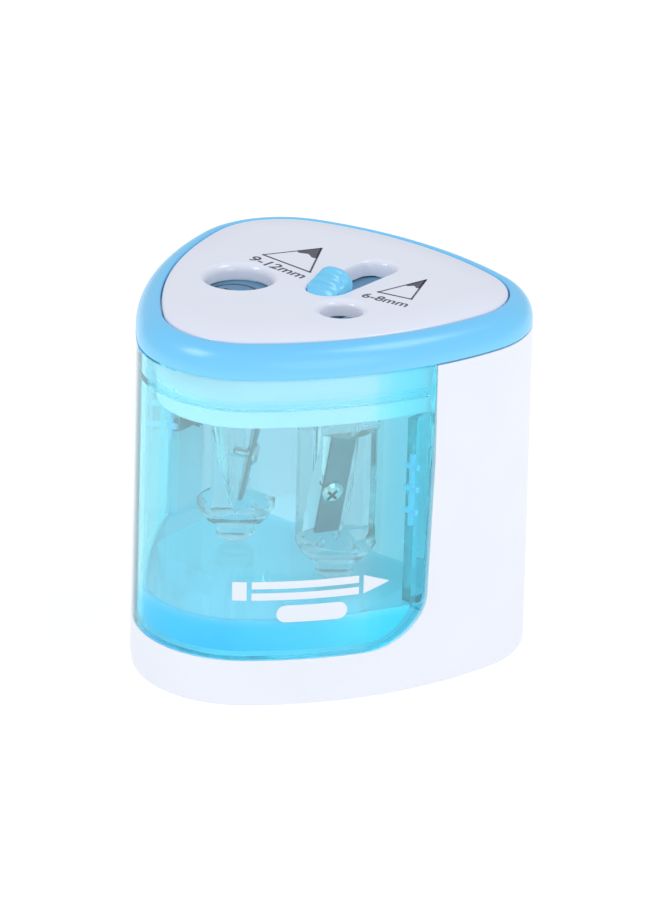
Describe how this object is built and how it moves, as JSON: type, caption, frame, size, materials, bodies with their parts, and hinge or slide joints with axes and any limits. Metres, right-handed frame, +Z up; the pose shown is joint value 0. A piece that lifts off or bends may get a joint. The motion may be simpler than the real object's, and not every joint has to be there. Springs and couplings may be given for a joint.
{
  "type": "electric pencil sharpener",
  "caption": "Desktop pencil sharpener with a rounded triangular plan, two pencil holes with a sliding selector, geared cutters and a clear front shavings bin.",
  "frame": {"origin": "centre of the bounding box, on the surface that the feet stand on", "axes": "+X right, +Y to the back, +Z up; the bin and the round apex face -Y"},
  "size_m": [0.0944, 0.0938, 0.0925],
  "materials": {
    "white_plastic": "satin moulded, off-white",
    "plate_plastic": "satin moulded, off-white",
    "ring_blue": "gloss moulded, sky blue",
    "bin_blue": "clear moulded, tinted blue",
    "selector_blue": "gloss moulded, sky blue",
    "clear_plastic": "clear moulded",
    "nylon": "natural nylon",
    "blade_steel": "ground",
    "zinc": "bright zinc plate",
    "rubber": "matt grey",
    "cell_skin": "printed sleeve, plain green",
    "black_plastic": "moulded",
    "red_plastic": "moulded"
  },
  "bodies": {
    "sharpener": {"housing_shell": "white_plastic", "base_plate": "white_plastic", "chassis": "white_plastic", "gear_tray": "white_plastic", "gear_cover": "white_plastic", "top_ring": "ring_blue", "top_plate": "plate_plastic", "foot_1": "rubber", "foot_2": "rubber", "foot_3": "rubber", "foot_4": "rubber", "base_screw_1": "zinc", "base_screw_2": "zinc", "base_screw_3": "zinc", "base_screw_4": "zinc", "cover_screw_1": "zinc", "cover_screw_2": "zinc", "cover_screw_3": "zinc", "large_guide_tube": "white_plastic", "small_guide_tube": "white_plastic", "large_bearing": "nylon", "small_bearing": "nylon", "idler_axle": "blade_steel", "motor_can": "zinc", "motor_end_cap": "black_plastic", "motor_screw_1": "zinc", "motor_screw_2": "zinc", "battery_1": "cell_skin", "battery_2": "cell_skin", "battery_3": "cell_skin", "battery_4": "cell_skin", "battery_spring_1": "zinc", "battery_spring_2": "zinc", "battery_spring_3": "zinc", "battery_spring_4": "zinc", "contact_plate_1": "zinc", "contact_plate_2": "zinc", "contact_plate_3": "zinc", "contact_plate_4": "zinc", "contact_plate_5": "zinc", "interlock_switch": "black_plastic", "wire_red": "red_plastic", "wire_black": "black_plastic"},
    "bin": {"shavings_bin": "bin_blue"},
    "selector": {"selector_shutter": "selector_blue", "selector_knob": "selector_blue"},
    "large_cutter": {"large_gear": "nylon", "large_carrier": "clear_plastic", "large_blade": "blade_steel", "large_blade_screw": "zinc"},
    "small_cutter": {"small_gear": "nylon", "small_carrier": "clear_plastic", "small_blade": "blade_steel", "small_blade_screw": "zinc"},
    "idler": {"idler_gear": "nylon"},
    "rotor": {"motor_shaft": "blade_steel", "motor_pinion": "nylon"},
    "plunger": {"interlock_plunger": "red_plastic"},
    "door": {"battery_door": "white_plastic"}
  },
  "joints": [
    {"name": "bin_slide", "type": "slide", "parent": "sharpener", "child": "bin", "axis": [0, -1, 0], "range_m": [0, 0.06]},
    {"name": "selector_slide", "type": "slide", "parent": "sharpener", "child": "selector", "axis": [0, 1, 0], "range_m": [0, 0.016]},
    {"name": "large_cutter_spin", "type": "hinge", "parent": "sharpener", "child": "large_cutter", "pos_m": [-0.01425, -0.00728, 0.04], "axis": [0, 0, 1], "continuous": true},
    {"name": "small_cutter_spin", "type": "hinge", "parent": "sharpener", "child": "small_cutter", "pos_m": [0.0161, -0.00718, 0.04], "axis": [0, 0, 1], "continuous": true},
    {"name": "idler_spin", "type": "hinge", "parent": "sharpener", "child": "idler", "pos_m": [0.00093, 0.0064, 0.07], "axis": [0, 0, 1], "continuous": true},
    {"name": "rotor_spin", "type": "hinge", "parent": "sharpener", "child": "rotor", "pos_m": [0.00093, 0.0214, 0.06], "axis": [0, 0, 1], "continuous": true},
    {"name": "plunger_press", "type": "slide", "parent": "sharpener", "child": "plunger", "axis": [0, 1, 0], "range_m": [0, 0.001], "stiffness_N_per_m": 200},
    {"name": "door_hinge", "type": "hinge", "parent": "sharpener", "child": "door", "pos_m": [0, 0.0382, 0.0012], "axis": [1, 0, 0], "range_deg": [0, 75]}
  ],
  "couplings": [
    {"joint": "small_cutter_spin", "follows": "large_cutter_spin", "ratio": 1},
    {"joint": "idler_spin", "follows": "large_cutter_spin", "ratio": -2.1875},
    {"joint": "rotor_spin", "follows": "large_cutter_spin", "ratio": 8.75}
  ]
}
